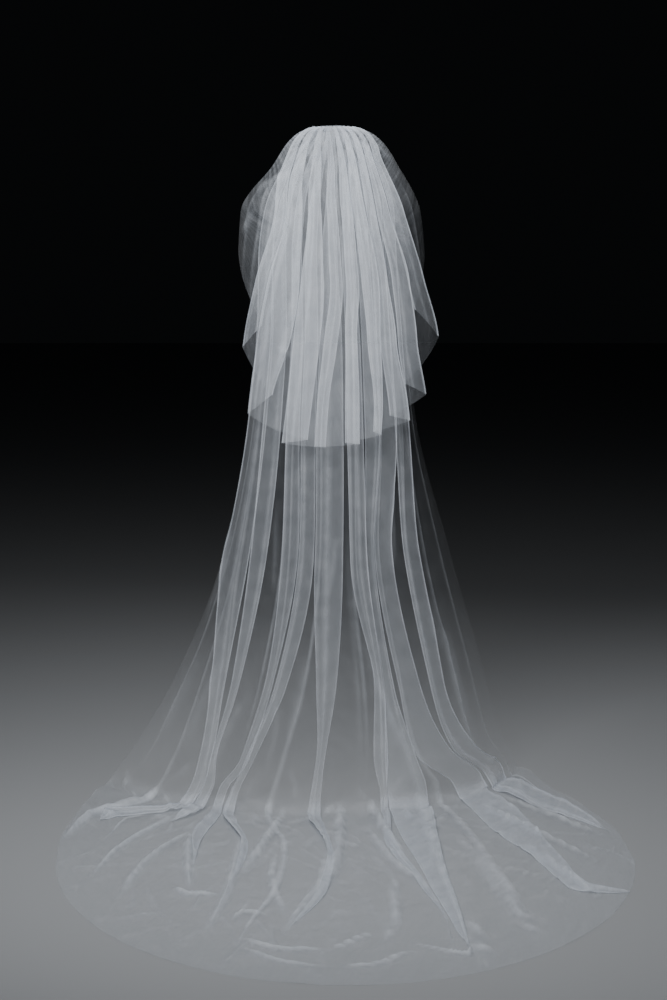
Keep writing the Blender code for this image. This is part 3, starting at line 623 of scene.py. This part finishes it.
# The gathered top edges of both tiers, drawn up into frills on the comb
frills = {
    "name": "gatheredFrills",
    "combWidth": 0.106,
    "headRadius": 0.110,
    "rows": (   # y of the middle, depth, gathers, height of the bottom and the top, seed
        (-0.0030, 0.0095, 62, -0.0056, 0.0066, 1),
        (-0.0085, 0.0085, 55, -0.0060, 0.0050, 2),
    ),
    "pointsPerGather": 10,
    "levels": 7,
    "cut": (1.6, 0.012),            # width and height in metres that the net's pattern covers in a row
    "layers": 3.0,                  # layers of cloth that one frill stands for
    "unevenDepth": 0.25,
    "unevenPace": ((0.35, 23.0), (0.2, 61.0)),  # how far, and how often, gathers crowd and part
    "endDepth": 0.55,               # depth at the two ends, as a share of the middle's
    "flare": (0.75, 0.35),          # depth at the bottom, and what it grows by towards the top
    "twist": 0.5,
    "sway": 0.0007,
    "crest": 0.0016,                # how uneven the top edge is
}


def buildFrills(spec):
    vertices, faces, flats, total = [], [], [], 0.0
    for middle, depth, gathers, bottom, top, seed in spec["rows"]:
        rng = np.random.default_rng(seed)
        count = gathers * spec["pointsPerGather"] + 1
        share = np.linspace(0.0, 1.0, count)
        (slow, slowPace), (quick, quickPace) = spec["unevenPace"]
        beat = share * gathers + slow * np.sin(share * slowPace + seed) + quick * np.sin(share * quickPace)
        place, stops = share * gathers, np.arange(gathers + 1)
        uneven = spec["unevenDepth"]
        size = 1.0 - uneven + uneven * np.interp(place, stops, rng.uniform(-1, 1, gathers + 1))
        taper = spec["endDepth"] + (1.0 - spec["endDepth"]) * np.sin(np.pi * share) ** 0.4
        crest = np.interp(place, stops, rng.uniform(0.0, 1.0, gathers + 1))
        x = (share - 0.5) * spec["combWidth"]
        lines = []
        for level in range(spec["levels"]):
            up = level / (spec["levels"] - 1)
            flare = spec["flare"][0] + spec["flare"][1] * up
            wave = depth * size * taper * np.sin(2.0 * np.pi * beat + spec["twist"] * up) * flare
            radius = spec["headRadius"] - middle - wave
            angle = (x + spec["sway"] * np.sin(4.0 * np.pi * beat)) / spec["headRadius"]
            z = bottom + (top - bottom) * up * taper + spec["crest"] * up * (crest - 0.5)
            lines.append(np.stack([radius * np.sin(angle), spec["headRadius"] - radius * np.cos(angle),
                                   z + 0.0 * x], axis=-1))
        points = np.array(lines).transpose(1, 0, 2)
        total += sheetArea(points)
        turned = gridFaces(count, spec["levels"], sum(map(len, vertices)))[:, (0, 3, 2, 1)]
        faces.append(turned)    # the other way round, so that they face away from the head
        vertices.append(points.reshape(-1, 3))
        flats.append(np.stack([np.repeat(share, spec["levels"]),
                               np.tile(np.arange(spec["levels"]) / spec["levels"], count)], axis=-1))
    print("frills area", round(total, 4))
    vertices = np.concatenate(vertices)
    return clothMesh(spec["name"], vertices, np.concatenate(faces), np.concatenate(flats) * spec["cut"],
                     np.full(len(vertices), spec["layers"]), np.zeros(len(vertices)))


heading = buildFrills(frills)

# Nylon tulle: a hexagonal net of fine matt threads, warp knitted and left soft. To the eye it
# is a cool white haze, whiter where layers lie on each other and along the creases.
tulleLook = {
    "threads": "#EFF4FC",
    "threadsShaded": "#DEE7F3",
    "netSize": 0.0035,              # metres; the real holes are 1.5 mm, too fine to show here
    "lowerCover": 0.048,            # share of the light that one flat layer stops
    "upperCover": 0.105,
    "frillCover": 0.30,
    "bendCover": 12.0,              # layers that a sharp bend adds, so that fold edges show as fine lines
    "roughness": (0.55, 0.75),
    "sheen": 0.35,
    "sheenRoughness": 0.4,
    "ior": 1.53,                    # nylon
    "specular": 0.35,
    "threadWidth": (0.04, 0.22),    # full thread, and none, in cells of the net
    "threadShare": (0.82, 0.5),     # cover between the threads, and what a thread adds
    "cloudScale": 22.0,             # cloudy patches per metre
    "unevenness": (0.82, 1.18),
    "streakScale": (70.0, 2.2, 1.0),    # streaks of fine gathers per metre, across and along
    "streakFade": (0.55, 3.0, 0.7),     # metres in which they fade, strength at the comb and beyond
    "leastStreak": 0.25,
    "bump": (0.15, 0.0004),
}


def makeTulle(name, cover, look):
    material = bpy.data.materials.new(name)
    material.use_nodes = True
    tree = material.node_tree
    shader = tree.nodes["Principled BSDF"]
    shader.inputs["Sheen Weight"].default_value = look["sheen"]
    shader.inputs["Sheen Roughness"].default_value = look["sheenRoughness"]
    shader.inputs["IOR"].default_value = look["ior"]
    shader.inputs["Specular IOR Level"].default_value = look["specular"]
    place = addNode(tree, "ShaderNodeUVMap", {"uv_map": "clothMetres"}).outputs["UV"]
    net = addNode(tree, "ShaderNodeTexVoronoi",
                  {"voronoi_dimensions": "2D", "feature": "DISTANCE_TO_EDGE"},
                  {"Scale": 1.0 / look["netSize"]}, {"Vector": place}).outputs["Distance"]
    thread = addNode(tree, "ShaderNodeMapRange", {},
                     {"From Min": look["threadWidth"][0], "From Max": look["threadWidth"][1],
                      "To Min": 1.0, "To Max": 0.0},
                     {"Value": net}).outputs["Result"]
    cloud = addNode(tree, "ShaderNodeTexNoise", {"noise_dimensions": "2D"},
                    {"Scale": look["cloudScale"], "Detail": 5.0, "Roughness": 0.6},
                    {"Vector": place}).outputs["Fac"]
    uneven = addNode(tree, "ShaderNodeMapRange", {},
                     {"From Min": 0.3, "From Max": 0.7, "To Min": look["unevenness"][0],
                      "To Max": look["unevenness"][1]},
                     {"Value": cloud}).outputs["Result"]
    closed = addNode(tree, "ShaderNodeMath", {"operation": "MULTIPLY_ADD"},
                     {1: look["threadShare"][1] * cover, 2: look["threadShare"][0] * cover},
                     {0: thread}).outputs[0]
    stopped = addNode(tree, "ShaderNodeMath", {"operation": "MULTIPLY"}, {},
                      {0: closed, 1: uneven}).outputs[0]
    passed = addNode(tree, "ShaderNodeMath", {"operation": "SUBTRACT", "use_clamp": True},
                     {0: 1.0}, {1: stopped}).outputs[0]
    gathered = addNode(tree, "ShaderNodeAttribute", {"attribute_name": "gathered"}).outputs["Fac"]
    bent = addNode(tree, "ShaderNodeAttribute", {"attribute_name": "bent"}).outputs["Fac"]
    bent = addNode(tree, "ShaderNodeMath", {"operation": "MULTIPLY"},
                   {1: look["bendCover"]}, {0: bent}).outputs[0]
    stretched = addNode(tree, "ShaderNodeMapping", {}, {"Scale": look["streakScale"]},
                        {"Vector": place}).outputs["Vector"]
    streaks = addNode(tree, "ShaderNodeTexNoise", {"noise_dimensions": "2D"},
                      {"Scale": 1.0, "Detail": 5.0, "Roughness": 0.62}, {"Vector": stretched}).outputs["Fac"]
    length = addNode(tree, "ShaderNodeSeparateXYZ", {}, {}, {"Vector": place}).outputs["Y"]
    fade = addNode(tree, "ShaderNodeMapRange", {"interpolation_type": "SMOOTHSTEP"},
                   {"From Min": 0.0, "From Max": look["streakFade"][0],
                    "To Min": look["streakFade"][1], "To Max": look["streakFade"][2]},
                   {"Value": length}).outputs["Result"]
    streaks = addNode(tree, "ShaderNodeMath", {"operation": "SUBTRACT"}, {1: 0.5}, {0: streaks}).outputs[0]
    streaks = addNode(tree, "ShaderNodeMath", {"operation": "MULTIPLY_ADD"},
                      {2: 1.0}, {0: streaks, 1: fade}).outputs[0]
    streaks = addNode(tree, "ShaderNodeMath", {"operation": "MAXIMUM"}, {1: look["leastStreak"]},
                      {0: streaks}).outputs[0]
    gathered = addNode(tree, "ShaderNodeMath", {"operation": "MULTIPLY_ADD"}, {},
                       {0: gathered, 1: streaks, 2: bent}).outputs[0]
    through = addNode(tree, "ShaderNodeMath", {"operation": "POWER"}, {},
                      {0: passed, 1: gathered}).outputs[0]
    alpha = addNode(tree, "ShaderNodeMath", {"operation": "SUBTRACT", "use_clamp": True},
                    {0: 1.0}, {1: through}).outputs[0]
    mix = tree.nodes.new("ShaderNodeMix")
    mix.data_type = "RGBA"
    mix.inputs[6].default_value = hexToLinear(look["threadsShaded"])
    mix.inputs[7].default_value = hexToLinear(look["threads"])
    tree.links.new(cloud, mix.inputs[0])
    rough = addNode(tree, "ShaderNodeMapRange", {},
                    {"From Min": 0.3, "From Max": 0.7, "To Min": look["roughness"][0],
                     "To Max": look["roughness"][1]}, {"Value": cloud}).outputs["Result"]
    bump = addNode(tree, "ShaderNodeBump", {},
                   {"Strength": look["bump"][0], "Distance": look["bump"][1]},
                   {"Height": thread}).outputs["Normal"]
    tree.links.new(mix.outputs[2], shader.inputs["Base Color"])
    tree.links.new(rough, shader.inputs["Roughness"])
    tree.links.new(bump, shader.inputs["Normal"])
    tree.links.new(alpha, shader.inputs["Alpha"])
    return material


lower.data.materials.append(makeTulle("lowerNylonTulle", tulleLook["lowerCover"], tulleLook))
upper.data.materials.append(makeTulle("upperNylonTulle", tulleLook["upperCover"], tulleLook))
heading.data.materials.append(makeTulle("gatheredNylonTulle", tulleLook["frillCover"], tulleLook))

# Clear polystyrene comb, injection moulded: glossy, with faint flow marks
combLook = {
    "plastic": "#DDE1E4",
    "plasticDeep": "#C9CFD4",
    "roughness": (0.12, 0.24),
    "ior": 1.59,                    # polystyrene
    "transmission": 0.35,
    "flowScale": 180.0,             # flow marks per metre
    "bump": (0.1, 0.0002),
}


def makeComb(look):
    material = bpy.data.materials.new("clearPolystyrene")
    material.use_nodes = True
    tree = material.node_tree
    shader = tree.nodes["Principled BSDF"]
    shader.inputs["IOR"].default_value = look["ior"]
    shader.inputs["Transmission Weight"].default_value = look["transmission"]
    place = addNode(tree, "ShaderNodeTexCoord").outputs["Object"]
    flow = addNode(tree, "ShaderNodeTexNoise", {}, {"Scale": look["flowScale"], "Detail": 3.0},
                   {"Vector": place}).outputs["Fac"]
    mix = tree.nodes.new("ShaderNodeMix")
    mix.data_type = "RGBA"
    mix.inputs[6].default_value = hexToLinear(look["plasticDeep"])
    mix.inputs[7].default_value = hexToLinear(look["plastic"])
    tree.links.new(flow, mix.inputs[0])
    rough = addNode(tree, "ShaderNodeMapRange", {},
                    {"To Min": look["roughness"][0], "To Max": look["roughness"][1]},
                    {"Value": flow}).outputs["Result"]
    bump = addNode(tree, "ShaderNodeBump", {},
                   {"Strength": look["bump"][0], "Distance": look["bump"][1]},
                   {"Height": flow}).outputs["Normal"]
    tree.links.new(mix.outputs[2], shader.inputs["Base Color"])
    tree.links.new(rough, shader.inputs["Roughness"])
    tree.links.new(bump, shader.inputs["Normal"])
    return material


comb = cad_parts["comb"]
combMaterial = makeComb(combLook)
for slot in comb.material_slots:
    slot.material = combMaterial
print("materials made")

# Floor and soft studio light
studio = {
    "floor": "#A9ACB0",
    "floorRoughness": 0.85,
    "floorReach": 30,               # metres each way
    "background": "#090A0B",
    "lights": (     # name, place, aimed at, size, spread in degrees, watts
        ("keyLight", (-0.45, -1.75, 0.45), (0.0, -0.2, -0.25), 1.0, 160, 44.0),
        ("fillLight", (2.0, -2.5, -0.1), (0.0, 0.0, -0.5), 1.4, 160, 6.0),
        ("backLight", (0.5, 1.5, 1.0), (0.0, -0.3, -0.6), 1.2, 160, 6.0),
    ),
}
floorMesh = bpy.data.meshes.new("studioFloor")
reach = studio["floorReach"]
corners = [(-reach, -reach), (reach, -reach), (reach, reach), (-reach, reach)]
floorMesh.from_pydata([(*corner, floorHeight) for corner in corners], [], [(0, 1, 2, 3)])
studioFloor = bpy.data.objects.new("studioFloor", floorMesh)
bpy.context.scene.collection.objects.link(studioFloor)
floorPaint = bpy.data.materials.new("matteFloorPaint")
floorPaint.use_nodes = True
paint = floorPaint.node_tree.nodes["Principled BSDF"]
paint.inputs["Base Color"].default_value = hexToLinear(studio["floor"])
paint.inputs["Roughness"].default_value = studio["floorRoughness"]
floorMesh.materials.append(floorPaint)
world = bpy.data.worlds.new("studio")
world.use_nodes = True
world.node_tree.nodes["Background"].inputs["Color"].default_value = hexToLinear(studio["background"])
bpy.context.scene.world = world
for name, place, aim, size, spread, watts in studio["lights"]:
    lightData = bpy.data.lights.new(name, "AREA")
    lightData.energy = watts
    lightData.size = size
    lightData.spread = math.radians(spread)
    light = bpy.data.objects.new(name, lightData)
    light.location = place
    light.rotation_euler = (Vector(aim) - Vector(place)).to_track_quat("-Z", "Y").to_euler()
    bpy.context.scene.collection.objects.link(light)
bpy.context.scene.cycles.transparent_max_bounces = 48   # many sheer layers lie behind each other

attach(lower, "root")
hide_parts("lower_tier")
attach(upper, "root")
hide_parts("upper_tier")
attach(heading, "root")
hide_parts("gathered_heading")
